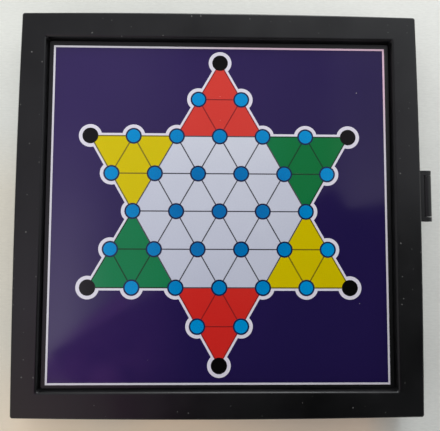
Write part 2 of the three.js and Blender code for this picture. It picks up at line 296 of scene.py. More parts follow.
def addBump(tree, shader, height):
    bump = addNode(tree, "Bump", Height=height, Distance=mm, Strength=1.0)
    tree.links.new(bump.outputs["Normal"], shader.inputs["Normal"])


def dress(tree, shader, surface):
    # gives the shader what a finish's group puts out
    tree.links.new(surface["Colour"], shader.inputs["Base Color"])
    tree.links.new(surface["Roughness"], shader.inputs["Roughness"])
    addBump(tree, shader, surface["Height"])


# effects shared by several materials

most = (0.3, 0.7)  # what nearly all of a noise lies between
dustLook = {
    "smallest": 0.35,       # the smallest speck, as a share of Size
    "rimNoise": {"Scale": 1400.0, "Detail": 1.0},
    "rim": (0.5, 1.2),      # how far a speck's rim draws in and out
    "soft": 0.02,
    "upward": (0.4, 0.9),   # how squarely a face looks up where the first specks lie, and where all do
}
scuffLook = {
    "turns": {12: 0.13, -38: 0.47, 74: 0.81},  # each direction in degrees, and its seed
    "stretch": (18, 420, 60),
    "streakNoise": {"Scale": 1.0, "Detail": 2.0, "Roughness": 0.6},
    "streakStep": 40,       # how far apart the seeds lie for the streaks, and for the patches
    "patchNoise": {"Scale": 36.0, "Detail": 1.0},
    "patchStep": 90,
    "patch": (0.45, 0.65),  # where streaks start to lie, and where all do
    "bare": 0.86,           # a streak shows above this at Density 0
    "reach": 0.3,           # and above this much less at Density 1
    "soft": 0.1,
}
edgeLook = {
    "samples": 4,
    "lean": (0.995, 0.9),   # how far a surface leans where the wear starts, and where it is full
    "noise": {"Scale": 260.0, "Detail": 3.0},
    "broken": (0.35, 0.65, 0.25, 1),
}


def dustGroup():
    # specks that settle on upward faces: Cell is the spacing of the specks in metres
    group, start, end = newGroup(
        "settledDust",
        {
            "Place": ("vector", None), "Cell": ("value", 0.004),
            "Share": ("value", 0.2), "Size": ("value", 0.05),
        },
        {"Mask": "value"},
    )
    scale = maths(group, "DIVIDE", 1.0, start["Cell"])
    cells = addNode(group, "TexVoronoi", Vector=start["Place"], Scale=scale)
    cells.voronoi_dimensions = "2D"
    spot = addNode(group, "SeparateColor", Color=cells.outputs["Color"]).outputs
    chosen = maths(group, "LESS_THAN", spot[0], start["Share"])
    rim = noise(group, start["Place"], **dustLook["rimNoise"])
    radius = maths(group, "MULTIPLY", start["Size"], between(group, spot[1], 0, 1, dustLook["smallest"], 1))
    radius = maths(group, "MULTIPLY", radius, between(group, rim, *most, *dustLook["rim"]))
    inside = maths(group, "SUBTRACT", radius, cells.outputs["Distance"])
    speck = between(group, inside, 0, dustLook["soft"])
    facing = axesOf(group, group.nodes.new("ShaderNodeTexCoord").outputs["Normal"])
    upward = between(group, facing["Z"], *dustLook["upward"])
    group.links.new(product(group, speck, chosen, upward), end["Mask"])
    return group


def seededNoise(group, place, seed, **inputs):
    texture = addNode(group, "TexNoise", Vector=place, **inputs)
    texture.noise_dimensions = "4D"
    texture.inputs["W"].default_value = seed
    return texture.outputs[0]


def scuffGroup():
    # short rubbed streaks in three directions: Density from 0, none, to 1, all over
    group, start, end = newGroup(
        "rubbedStreaks",
        {"Place": ("vector", None), "Density": ("value", 0.3), "Fineness": ("value", 1.0)},
        {"Mask": "value"},
    )
    place, look = start["Place"], scuffLook
    reach = maths(group, "MULTIPLY", start["Density"], look["reach"])
    lowest = maths(group, "SUBTRACT", look["bare"], reach)
    highest = maths(group, "ADD", lowest, look["soft"])
    total = 0.0
    for turn, seed in look["turns"].items():
        sized = vectorMaths(group, "SCALE", turned(group, place, (0, 0, turn), look["stretch"]))
        group.links.new(start["Fineness"], sized.inputs["Scale"])
        streak = seededNoise(group, sized.outputs[0], seed * look["streakStep"], **look["streakNoise"])
        patch = seededNoise(group, place, seed * look["patchStep"], **look["patchNoise"])
        line = between(group, streak, lowest, highest)
        mark = maths(group, "MULTIPLY", line, between(group, patch, *look["patch"]))
        total = maths(group, "MAXIMUM", total, mark)
    group.links.new(total, end["Mask"])
    return group


def edgeGroup():
    # edges that handling has polished: Width is how far the wear reaches from an edge, in metres
    group, start, end = newGroup(
        "handledEdges",
        {"Place": ("vector", None), "Width": ("value", 0.0006)},
        {"Mask": "value"},
    )
    rounded = addNode(group, "Bevel", Radius=start["Width"])
    rounded.samples = edgeLook["samples"]
    lean = vectorMaths(group, "DOT_PRODUCT", rounded.outputs[0])
    group.links.new(group.nodes.new("ShaderNodeNewGeometry").outputs["Normal"], lean.inputs[1])
    rim = between(group, lean.outputs["Value"], *edgeLook["lean"])
    broken = noise(group, start["Place"], **edgeLook["noise"])
    mask = maths(group, "MULTIPLY", rim, between(group, broken, *edgeLook["broken"]))
    group.links.new(mask, end["Mask"])
    return group


dust, scuffs, edges = dustGroup(), scuffGroup(), edgeGroup()

plasticLook = {
    "grainNoise": {"Detail": 2.0, "Roughness": 0.55},
    "toneNoise": {"Scale": 42.0, "Detail": 4.0, "Roughness": 0.6},   # slow changes of tone
    "toneShare": 0.22,      # how far they go towards Worn
    "toneRough": (-0.05, 0.05),
    "flowNoise": {"Scale": 9.0, "Detail": 2.0, "Distortion": 1.2},   # broad marks of the melt's flow
    "flow": (0.35, 0.65, -0.03, 0.03),
    "scuffShare": 0.5,
    "scuffDepth": -0.004,   # depths and heights are in millimetres
    "edgeShare": 0.8,
    "polish": 0.1,          # how much smoother a worn place is
    "dustRough": 0.3,
    "dustHeight": 0.02,
}
filmLook = {
    "grainNoise": {"Scale": 1900.0, "Detail": 1.0},
    "grain": (-0.1, 0.1),   # how far the grain and the clouds shift the ink towards its other colour
    "cloudNoise": {"Scale": 24.0, "Detail": 3.0, "Roughness": 0.55},
    "cloud": (0.35, 0.7, -0.1, 0.1),
    "smear": (0.4, 0.75, 0, 0.06),
    "hair": {"Density": 0.25, "Fineness": 2.2},
    "hairRough": 0.14,
    "dust": {"Cell": 0.007, "Size": 0.035},
    "dustColour": (0.55, 0.54, 0.5, 1),
    "dustRough": 0.4,
    "dustHeight": 0.02,
    "waveNoise": {"Scale": 26.0, "Detail": 1.0},
    "waveHeight": 0.12,
}


def plasticGroup():
    # moulded plastic: fine sparked grain, slow changes of tone, rubbed streaks, polished edges and dust
    group, start, end = newGroup(
        "mouldedPlastic",
        {
            "Place": ("vector", None), "Colour": ("colour", (0.5, 0.5, 0.5, 1)),
            "Worn": ("colour", (0.6, 0.6, 0.6, 1)), "Dust Colour": ("colour", (0.35, 0.34, 0.32, 1)),
            "Roughness": ("value", 0.4), "Grain": ("value", 0.006), "Grain Size": ("value", 0.00035),
            "Scuffs": ("value", 0.3), "Edge Width": ("value", 0.0006),
            "Dust Share": ("value", 0.15), "Dust Size": ("value", 0.05),
        },
        {"Colour": "colour", "Roughness": "value", "Height": "value"},
    )
    place, look = start["Place"], plasticLook
    grainScale = maths(group, "DIVIDE", 1.0, start["Grain Size"])
    grain = noise(group, place, Scale=grainScale, **look["grainNoise"])
    tone = noise(group, place, **look["toneNoise"])
    flow = noise(group, place, **look["flowNoise"])
    streaks = placeGroup(group, scuffs, Place=place, Density=start["Scuffs"])["Mask"]
    handled = placeGroup(group, edges, Place=place, Width=start["Edge Width"])["Mask"]
    lying = {"Share": start["Dust Share"], "Size": start["Dust Size"]}
    specks = placeGroup(group, dust, Place=place, **lying)["Mask"]
    wear = maths(group, "MAXIMUM", maths(group, "MULTIPLY", streaks, look["scuffShare"]),
                 maths(group, "MULTIPLY", handled, look["edgeShare"]))
    toneShare = between(group, tone, *most, 0, look["toneShare"])
    toned = blendColours(group, toneShare, start["Colour"], start["Worn"])
    worn = blendColours(group, wear, toned, start["Worn"])
    dusty = blendColours(group, specks, worn, start["Dust Colour"])
    group.links.new(dusty, end["Colour"])
    rough = maths(group, "ADD", start["Roughness"], between(group, tone, *most, *look["toneRough"]))
    rough = maths(group, "ADD", rough, between(group, flow, *look["flow"]))
    rough = maths(group, "SUBTRACT", rough, maths(group, "MULTIPLY", wear, look["polish"]))
    rough = maths(group, "ADD", rough, maths(group, "MULTIPLY", specks, look["dustRough"]), clamp=True)
    group.links.new(rough, end["Roughness"])
    pits = maths(group, "MULTIPLY", grain, start["Grain"])
    scored = maths(group, "MULTIPLY", streaks, look["scuffDepth"])
    heaped = maths(group, "MULTIPLY", specks, look["dustHeight"])
    height = maths(group, "ADD", maths(group, "ADD", pits, scored), heaped)
    group.links.new(height, end["Height"])
    return group


def filmGroup():
    # printed, laminated sheet: even ink under a clear gloss, with smears, hairlines and a few specks
    group, start, end = newGroup(
        "printedFilm",
        {
            "Place": ("vector", None), "Ink": ("colour", (0.5, 0.5, 0.5, 1)),
            "Faded": ("colour", (0.5, 0.5, 0.5, 1)), "Fade": ("value", 0.0),
            "Gloss": ("value", 0.1), "Dust Share": ("value", 0.02),
        },
        {"Colour": "colour", "Roughness": "value", "Height": "value"},
    )
    place, look = start["Place"], filmLook
    grain = noise(group, place, **look["grainNoise"])
    cloud = noise(group, place, **look["cloudNoise"])
    wave = noise(group, place, **look["waveNoise"])
    hair = placeGroup(group, scuffs, Place=place, **look["hair"])["Mask"]
    specks = placeGroup(group, dust, Place=place, Share=start["Dust Share"], **look["dust"])["Mask"]
    mottle = maths(group, "ADD", between(group, grain, *most, *look["grain"]),
                   between(group, cloud, *look["cloud"]))
    # the shift that some inks get by direction is painted light and shade
    shifted = maths(group, "ADD", mottle, start["Fade"], clamp=True)
    inked = blendColours(group, shifted, start["Ink"], start["Faded"])
    group.links.new(blendColours(group, specks, inked, look["dustColour"]), end["Colour"])
    rough = maths(group, "ADD", start["Gloss"], between(group, cloud, *look["smear"]))
    rough = maths(group, "ADD", rough, maths(group, "MULTIPLY", hair, look["hairRough"]))
    rough = maths(group, "ADD", rough, maths(group, "MULTIPLY", specks, look["dustRough"]), clamp=True)
    group.links.new(rough, end["Roughness"])
    relief = maths(group, "ADD", maths(group, "MULTIPLY", wave, look["waveHeight"]),
                   maths(group, "MULTIPLY", specks, look["dustHeight"]))
    group.links.new(relief, end["Height"])
    return group


plastic, film = plasticGroup(), filmGroup()


# materials

plastics = {
    "caseBlack": {
        "Colour": paint(9, 9, 10), "Worn": paint(38, 38, 40), "Roughness": 0.35, "Grain": 0.004,
        "Grain_Size": 0.0004, "Scuffs": 0.6, "Edge_Width": 0.0007, "Dust_Share": 0.2, "Dust_Size": 0.1,
        "Dust_Colour": (0.1, 0.1, 0.096, 1),
    },
    "latchBlack": {
        "Colour": paint(15, 15, 16), "Worn": paint(44, 44, 46), "Roughness": 0.36, "Grain": 0.003,
        "Grain_Size": 0.0003, "Scuffs": 0.5, "Edge_Width": 0.0004, "Dust_Share": 0.05, "Dust_Size": 0.04,
    },
    "dividerGrey": {
        "Colour": paint(30, 30, 32), "Worn": paint(56, 56, 58), "Roughness": 0.45, "Grain": 0.004,
        "Grain_Size": 0.0004, "Scuffs": 0.35, "Edge_Width": 0.0004, "Dust_Share": 0.05, "Dust_Size": 0.05,
    },
}
menColours = {
    "red": {"Colour": paint(188, 22, 26), "Worn": paint(214, 74, 70)},
    "yellow": {"Colour": paint(214, 188, 10), "Worn": paint(230, 210, 92)},
    "green": {"Colour": paint(8, 112, 50), "Worn": paint(58, 142, 92)},
}
menFinish = {
    "Roughness": 0.24, "Grain": 0.001, "Scuffs": 0.25,
    "Edge_Width": 0.0003, "Dust_Share": 0.02, "Dust_Size": 0.03,
}
metals = {
    "pinSteel": {"colour": paint(196, 197, 199), "dark": paint(112, 104, 92), "roughness": 0.24,
                 "lines": (5200, 90, 5200)},
    "plateSteel": {"colour": paint(176, 178, 180), "dark": paint(120, 112, 98), "roughness": 0.34,
                   "lines": (2400, 60, 2400)},
    "ferrite": {"colour": paint(62, 61, 62), "dark": paint(38, 36, 36), "roughness": 0.5,
                "lines": (700, 700, 700), "metallic": 0.35},
}
metalLook = {
    "lineNoise": {"Scale": 1.0, "Detail": 3.0, "Roughness": 0.6},
    "lineRough": (-0.06, 0.1),
    "lineHeight": 0.004,    # in millimetres
    "tarnishNoise": {"Scale": 160.0, "Detail": 4.0, "Roughness": 0.65},
    "tarnish": (0.45, 0.75, 0, 0.6),
    "tarnishRough": 0.2,
}
inkColours = {
    "margin": {"ink": paint(11, 11, 12), "shifted": paint(15, 15, 16), "gloss": 0.34},
    # purple: painted reflection, lighter and redder towards the back left
    "purple": {"ink": paint(30, 21, 68), "shifted": paint(42, 27, 82), "towards": (-0.8, 0.6)},
    # border: painted pink reflection towards the back right
    "border": {"ink": paint(214, 211, 219), "shifted": paint(224, 188, 208), "towards": (0.45, 0.9),
               "span": (0.05, 0.075)},
    "white": {"ink": paint(212, 209, 222), "shifted": paint(218, 214, 226)},
    # centre: painted shade, darker towards the front and lighter towards the back
    "centre": {"ink": paint(185, 188, 206), "shifted": paint(208, 211, 221), "towards": (0, 1)},
    # red lighter towards the back, yellow and green lighter towards the left: painted light falling off
    # across the sheet
    "red": {"ink": paint(201, 38, 33), "shifted": paint(207, 57, 46), "towards": (0, 1)},
    "yellow": {"ink": paint(199, 179, 0), "shifted": paint(208, 188, 4), "towards": (-1, 0), "shine": 0.2},
    "green": {"ink": paint(2, 108, 52), "shifted": paint(11, 122, 78), "towards": (-1, 0), "shine": 0.35},
    "blue": {"ink": paint(0, 101, 167), "shifted": paint(0, 138, 202), "shine": 0.2},
    "navy": {"ink": paint(12, 28, 66), "shifted": paint(18, 36, 74)},
    "black": {"ink": paint(6, 6, 6), "shifted": paint(9, 9, 9), "shine": 0.28},
    "lineGrey": {"ink": paint(62, 62, 70), "shifted": paint(70, 70, 78)},
    "lineRed": {"ink": paint(136, 24, 26), "shifted": paint(142, 30, 30)},
    "lineYellow": {"ink": paint(104, 92, 14), "shifted": paint(108, 96, 20)},
    "lineGreen": {"ink": paint(8, 52, 28), "shifted": paint(14, 58, 34)},
}
inkRim = (0.012, 0.048)     # from the middle, where an ink without towards starts to shift to its other colour, and where the shift is full: it grows lighter away from the middle


def makePlastic(name, **finish):
    material, tree, shader, place = newMaterial(name, Specular_IOR_Level=0.5)
    dress(tree, shader, placeGroup(tree, plastic, Place=place, **finish))
    return material


def makeInk(name, ink, shifted, towards=None, span=(-0.05, 0.07), gloss=0.075, shine=0.5):
    # the ink's other colour lies away from the middle, or over span on the side that towards points at;
    # where towards is given, that shift is painted light, shade and reflection across the sheet, as noted
    # at each ink
    material, tree, shader, place = newMaterial(name, Specular_IOR_Level=shine)
    if towards:
        away = vectorMaths(tree, "DOT_PRODUCT", place)
        away.inputs[1].default_value = (*towards, 0)
        shifting = between(tree, away.outputs["Value"], *span)
    else:
        level = vectorMaths(tree, "MULTIPLY", place)
        level.inputs[1].default_value = (1, 1, 0)
        away = vectorMaths(tree, "LENGTH", level.outputs[0])
        shifting = between(tree, away.outputs["Value"], *inkRim)
    dress(tree, shader, placeGroup(tree, film, Place=place, Ink=ink, Faded=shifted, Fade=shifting, Gloss=gloss))
    return material


def makeMetal(name, colour, dark, roughness, lines, metallic=1.0):
    # drawn or rolled metal: fine lines along Y and a little tarnish
    look = metalLook
    material, tree, shader, place = newMaterial(name, Metallic=metallic)
    drawn = noise(tree, turned(tree, place, stretch=lines), **look["lineNoise"])
    stain = between(tree, noise(tree, place, **look["tarnishNoise"]), *look["tarnish"])
    tree.links.new(blendColours(tree, stain, colour, dark), shader.inputs["Base Color"])
    rough = maths(tree, "ADD", roughness, between(tree, drawn, *most, *look["lineRough"]))
    rough = maths(tree, "ADD", rough, maths(tree, "MULTIPLY", stain, look["tarnishRough"]), clamp=True)
    tree.links.new(rough, shader.inputs["Roughness"])
    addBump(tree, shader, maths(tree, "MULTIPLY", drawn, look["lineHeight"]))
    return material


casePlastics = {name: makePlastic(name, **finish) for name, finish in plastics.items()}
menPlastics = {
    colour: makePlastic("men" + colour.title(), **tints, **menFinish)
    for colour, tints in menColours.items()
}
metalFinishes = {name: makeMetal(name, **finish) for name, finish in metals.items()}
inks = {name: makeInk("ink" + name[0].upper() + name[1:], **look) for name, look in inkColours.items()}
print("materials made")


# printed star on the board, built up in coats of ink

starPrint = {
    "rows": {4: 1, 3: 2, 2: 7, 1: 6, 0: 5, -1: 6, -2: 7, -3: 2, -4: 1},  # points in each row, from the back
    "pitch": 0.25072,           # between neighbouring points, as a share of half the sheet's width
    "rowStretch": 1.0102,       # rows are a little further apart than an even lattice
    # the next nine are in pitches
    "borderLine": 3.8725,       # from the centre to the middle of the border line
    "borderWidth": 0.044,
    "outline": 0.064,           # white edge round the star
    "halo": 0.267,
    "ring": 0.187,
    "point": 0.15,
    "tip": 0.184,
    "line": 0.027,
    "lineInset": 0.12,          # a line's end from the middle of the point it meets
    "borderForward": 0.3 * mm,  # the whole border sits a little towards the front
    "borderLonger": 0.12 * mm,  # and is a little longer that way
    "fieldCorner": 0.3 * mm,
    "cornerSteps": 3,
    "coat": 0.015 * mm,
    "edge": 0.008 * mm,         # rounded rim of each coat
    "edgeSteps": 2,
    "same": 0.001 * mm,         # a corner this near a coat's top lies in it
    "steep": 0.5,               # a face whose normal has less Z than this is a side
    "slack": 0.01,              # in pitches, for places that are worked out two ways
    "flat": 0.5,                # in degrees: faces this nearly in line become one
    "sides": 56,
}

sheetLow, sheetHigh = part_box("printed_board")
sheetMiddle = middleOf(sheetLow, sheetHigh)
pitch = starPrint["pitch"] * (sheetHigh.x - sheetLow.x) / 2
starColours = ("red", "yellow", "green")  # round the star twice, from the back


def coatHeights(level, coats=1):
    bottom = sheetHigh.z + level * starPrint["coat"]
    return bottom, bottom + coats * starPrint["coat"]


def starPoints():
    # in pitches from the centre
    return [
        Vector((i - (count - 1) / 2, row * sqrt(3) / 2))
        for row, count in starPrint["rows"].items() for i in range(count)
    ]


def neighboursOf(point, points):
    return [other for other in points if abs((other - point).length - 1) < starPrint["slack"]]


def onSheet(point):
    return Vector((
        sheetMiddle.x + point.x * pitch,
        sheetMiddle.y + point.y * pitch * starPrint["rowStretch"],
    ))


def softenTop(piece, top):
    # ink draws back at its rim, so the upper edges are rounded
    def onRim(edge):
        inTop = all(abs(corner.co.z - top) < starPrint["same"] for corner in edge.verts)
        return inTop and any(abs(face.normal.z) < starPrint["steep"] for face in edge.link_faces)

    softenEdges(piece, onRim, starPrint["edge"], starPrint["edgeSteps"])


def stretchRows(name, middle, stretch):
    bpy.ops.transform.resize(value=(1, stretch, 1), center_override=middle)
    return settle(name)


def inkPrism(name, level, middle, radius, corners, turn=0.0, coats=1, stretched=False, soft=True):
    bottom, top = coatHeights(level, coats)
    bpy.ops.mesh.primitive_cylinder_add(
        vertices=corners, radius=radius, depth=top - bottom,
        location=(middle.x, middle.y, (bottom + top) / 2), rotation=(0, 0, radians(turn)),
    )
    piece = settle(name)
    if stretched:
        piece = stretchRows(name, (middle.x, middle.y, bottom), starPrint["rowStretch"])
    if soft:
        softenTop(piece, top)
    return piece


def printPiece(piece, ink):
    fitPiece(piece, "lid", inks[ink], smoothUnder=20)  # so that the flats stay flat


def borderFrame():
    # middle and half size of the border line's outside
    half = (starPrint["borderLine"] + starPrint["borderWidth"] / 2) * pitch
    middle = Vector((sheetMiddle.x, sheetMiddle.y - starPrint["borderForward"]))
    return middle, Vector((half, half + starPrint["borderLonger"]))


def inkField():
    bottom, top = coatHeights(0)
    middle, half = borderFrame()
    bpy.ops.mesh.primitive_cube_add(size=1, location=(middle.x, middle.y, (bottom + top) / 2),
                                    scale=(2 * half.x, 2 * half.y, top - bottom))
    field = settle("print_field")

    def upright(edge):
        return runOf(edge, 2) > starPrint["coat"] / 2

    softenEdges(field, upright, starPrint["fieldCorner"], starPrint["cornerSteps"])
    softenTop(field, top)
    printPiece(field, "purple")


def inkBorder():
    bottom, top = coatHeights(1)
    middle, half = borderFrame()
    bpy.ops.mesh.primitive_plane_add(size=2 * half.x, location=(middle.x, middle.y, bottom))
    border = stretchRows("print_border", (middle.x, middle.y, bottom), half.y / half.x)
    openMesh(border, "SELECT")
    bpy.ops.mesh.inset(thickness=starPrint["borderWidth"] * pitch)
    bpy.ops.mesh.delete(type="FACE")
    bpy.ops.mesh.select_all(action="SELECT")
    bpy.ops.mesh.extrude_region_move(TRANSFORM_OT_translate={"value": (0, 0, top - bottom)})
    bpy.ops.mesh.select_all(action="SELECT")
    bpy.ops.mesh.normals_make_consistent(inside=False)
    closeMesh()
    softenTop(border, top)
    printPiece(border, "border")


def inkOutline(points):
    # two large triangles and a round halo at each point on the rim, as one silhouette
    corner = (2 * sqrt(3) + 2 * starPrint["outline"]) * pitch
    outline = inkPrism("print_outline", 1, sheetMiddle, corner, 3, 0, stretched=True, soft=False)
    other = inkPrism("print_other", 1, sheetMiddle, corner, 3, 180, stretched=True, soft=False)
    rim = [point for point in points if len(neighboursOf(point, points)) < 6]
    halos = [
        inkPrism("print_halo", 1, onSheet(point), starPrint["halo"] * pitch, starPrint["sides"], soft=False)
        for point in rim
    ]
    for part in (other, joinPieces(halos, "print_halos")):
        useModifier(outline, "BOOLEAN", operation="UNION", solver="EXACT", object=part)
        bpy.data.objects.remove(part)
    openMesh(outline, "SELECT")
    bpy.ops.mesh.remove_doubles(threshold=weldGap)
    bpy.ops.mesh.dissolve_limited(angle_limit=radians(starPrint["flat"]))
    closeMesh()
    softenTop(outline, coatHeights(1)[1])
    printPiece(outline, "white")


def regionOf(point):
    # which part of the star a place lies in: the hexagon's sides are the root of 3 from the centre
    reach = max(abs(point.x * cos(angle) + point.y * sin(angle)) for angle in (pi / 2, pi / 6, -pi / 6))
    if reach < sqrt(3) + starPrint["slack"]:
        return "centre"
    sector = round((degrees(atan2(point.y, point.x)) - 90) / 60)
    return starColours[sector % 3]


def inkAreas():
    centre = inkPrism("print_centre", 2, sheetMiddle, 2 * pitch, 6, 30, stretched=True)
    printPiece(centre, "centre")
    radius = 2 / sqrt(3)
    for first, colour in enumerate(starColours):
        corners = []
        for turn in (60 * first, 60 * first + 180):
            middle = onSheet(Vector((-sin(radians(turn)), cos(radians(turn)))) * 2 * radius)
            corner = inkPrism(f"print_{colour}", 2, middle, radius * pitch, 3, turn, stretched=True)
            corners.append(corner)
        printPiece(joinPieces(corners, f"print_corners_{colour}"), colour)


def inkLines(points):
    bottom, top = coatHeights(3)
    looks = {"centre": "lineGrey", "red": "lineRed", "yellow": "lineYellow", "green": "lineGreen"}
    strips = {region: [] for region in looks}
    for i, first in enumerate(points):
        for second in neighboursOf(first, points[i + 1:]):
            start, end = onSheet(first), onSheet(second)
            along = end - start
            middle = (start + end) / 2
            length = along.length - 2 * starPrint["lineInset"] * pitch
            bpy.ops.mesh.primitive_cube_add(
                size=1, location=(middle.x, middle.y, (bottom + top) / 2),
                rotation=(0, 0, atan2(along.y, along.x)),
                scale=(length, starPrint["line"] * pitch, top - bottom),
            )
            strips[regionOf((first + second) / 2)].append(settle("print_strip"))
    for region, parts in strips.items():
        lines = joinPieces(parts, f"print_lines_{region}")
        softenTop(lines, top)
        printPiece(lines, looks[region])


def inkDots(points):
    # dark rings with a blue point over each, and the six black tips, all over the ends of the lines
    tips = [point for point in points if len(neighboursOf(point, points)) == 2]
    inner = [point for point in points if point not in tips]
    stacks = (
        ("print_rings", 3, 2, inner, "ring", "navy"),
        ("print_points", 5, 1, inner, "point", "blue"),
        ("print_tips", 3, 2, tips, "tip", "black"),
    )
    for name, level, coats, places, size, ink in stacks:
        start, radius = onSheet(places[0]), starPrint[size] * pitch
        first = inkPrism(name, level, start, radius, starPrint["sides"], coats=coats)
        dots = [first]
        for point in places[1:]:
            shift = onSheet(point) - start
            dots.append(copyPiece(first, name + "_next", (shift.x, shift.y, 0)))
        printPiece(joinPieces(dots, name), ink)


def printBoard():
    points = starPoints()
    inkField()
    inkBorder()
    inkOutline(points)
    inkAreas()
    inkLines(points)
    inkDots(points)
    print("board printed:", len(points), "points")


printBoard()


# moulded shells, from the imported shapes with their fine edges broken

shells = {
    "base_shell": {"body": "base", "edge": 0.12 * mm, "plastic": "caseBlack", "slot": "case_plastic"},
    "lid_shell": {"body": "lid", "edge": 0.12 * mm, "plastic": "caseBlack", "slot": "case_plastic"},
    "latch_clip": {"body": "latch", "edge": 0.14 * mm, "plastic": "latchBlack", "slot": "latch_plastic"},
}
for side in ("left", "right"):
    shells["divider_" + side] = {
        "body": "base", "edge": 0.25 * mm, "plastic": "dividerGrey", "slot": "divider_plastic",
    }
shellAngles = {"flat": 0.05, "edge": 32, "smooth": 40}  # in degrees
shellSteps = 2


def mouldedPiece(node, look):
    choose(nodes[node])
    bpy.ops.object.duplicate(linked=False)
    bpy.ops.object.parent_clear(type="CLEAR_KEEP_TRANSFORM")
    piece = settle(node + "_moulded")
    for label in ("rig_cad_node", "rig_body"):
        if label in piece:
            del piece[label]
    openMesh(piece, "SELECT")
    bpy.ops.mesh.remove_doubles(threshold=weldGap)
    bpy.ops.mesh.dissolve_limited(angle_limit=radians(shellAngles["flat"]))
    closeMesh()
    useModifier(piece, "BEVEL", width=look["edge"], segments=shellSteps, limit_method="ANGLE",
                angle_limit=radians(shellAngles["edge"]), use_clamp_overlap=True, miter_outer="MITER_ARC")
    fitPiece(piece, look["body"], casePlastics[look["plastic"]], shellAngles["smooth"])
    useModifier(piece, "WEIGHTED_NORMAL", keep_sharp=True, weight=100)  # flats stay flat up to their edges
    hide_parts(node)


for node, look in shells.items():
    mouldedPiece(node, look)
print("shells finished")


# pins, magnets and men

pinLook = {"sides": 32, "rim": 0.2 * mm, "rimSteps": 3}
magnetLook = {"sides": 40, "rim": 0.15 * mm, "rimSteps": 2}
manLook = {
    "sides": 48,
    "rim": 0.45 * mm,
    "rimSteps": 3,
    "foot": 1.9 * mm,           # height of the flat round foot
    "waist": 2.7 * mm,          # radii of the waist and of the ball head
    "head": 3.4 * mm,
    "headSteps": 11,
    "crown": 84,                # degrees up the ball where its last ring lies
    "magnetRoom": 0.3 * mm,     # round the magnet and over it
}


def roundBar(name, low, high, look, lying=False):
    # fills the box from low to high, along Y or upright, with rounded rims
    along, across, turn = (1, 2, pi / 2) if lying else (2, 0, 0)
    bpy.ops.mesh.primitive_cylinder_add(
        vertices=look["sides"], radius=(high[across] - low[across]) / 2, depth=high[along] - low[along],
        location=middleOf(low, high), rotation=(turn, 0, 0),
    )
    bar = settle(name)
    softenEdges(bar, lambda edge: runOf(edge, along) < crossRun, look["rim"], look["rimSteps"])
    return bar


def makePins():
    for node, body in (("hinge_pin_front", "base"), ("hinge_pin_back", "base"), ("latch_pin", "lid")):
        pin = roundBar(node + "_wire", *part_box(node), pinLook, lying=True)
        fitPiece(pin, body, metalFinishes["pinSteel"])
        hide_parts(node)


def makeMan(low, high, pocketRadius, pocketDepth):
    # a flat round foot with a pocket for the magnet below and a ball head above
    middle = middleOf(low, high)
    level, radius, head = low.z + manLook["foot"], manLook["waist"], manLook["head"]
    man = roundBar("man_first", low, Vector((high.x, high.y, level)), manLook)
    flatRadius = (high.x - low.x) / 2 - manLook["rim"]

    def pickFlat(side):
        # the foot's top or underside, the only faces with this many corners
        pick(man, "FACE", lambda face: len(face.verts) == manLook["sides"] and face.normal.z * side > 0)

    openMesh(man)
    pickFlat(1)
    bpy.ops.mesh.inset(thickness=flatRadius - radius)
    headMiddle = high.z - head
    lowest = atan2(-sqrt(head ** 2 - radius ** 2), radius)
    for step in range(manLook["headSteps"] + 1):
        angle = lowest + (radians(manLook["crown"]) - lowest) * step / manLook["headSteps"]
        newLevel = headMiddle + head * sin(angle)
        newRadius = head * cos(angle)
        bpy.ops.mesh.extrude_region_move(TRANSFORM_OT_translate={"value": (0, 0, newLevel - level)})
        share = newRadius / radius
        bpy.ops.transform.resize(value=(share, share, 1), center_override=(middle.x, middle.y, newLevel))
        level, radius = newLevel, newRadius
    bpy.ops.mesh.poke(offset=high.z - level)
    pickFlat(-1)
    bpy.ops.mesh.inset(thickness=flatRadius - pocketRadius)
    bpy.ops.mesh.extrude_region_move(TRANSFORM_OT_translate={"value": (0, 0, pocketDepth)})
    bpy.ops.mesh.select_all(action="SELECT")
    bpy.ops.mesh.normals_make_consistent(inside=False)
    closeMesh()
    return man


def makeMen():
    low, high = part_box("man_red_1")
    magnetLow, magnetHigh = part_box("magnet_red_1")
    firstMagnet = roundBar("magnet_first", magnetLow, magnetHigh, magnetLook)
    magnet = magnetHigh - magnetLow
    room = manLook["magnetRoom"]
    firstMan = makeMan(low, high, magnet.x / 2 + room, magnet.z + room)
    for node in sorted(nodes):
        kind, colour = node.split("_")[:2]
        if kind == "man":
            piece = copyPiece(firstMan, node + "_turned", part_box(node)[0] - low)
            fitPiece(piece, "base", menPlastics[colour])
        elif kind == "magnet":
            piece = copyPiece(firstMagnet, node + "_turned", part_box(node)[0] - magnetLow)
            fitPiece(piece, "base", metalFinishes["ferrite"])
        else:
            continue
        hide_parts(node)
    for first in (firstMan, firstMagnet):
        bpy.data.objects.remove(first)


makePins()
makeMen()
for node, material in (("printed_board", inks["margin"]), ("steel_plate", metalFinishes["plateSteel"])):
    nodes[node].data.materials.clear()
    nodes[node].data.materials.append(material)
print("pins, magnets and men finished")


# floor, light and camera

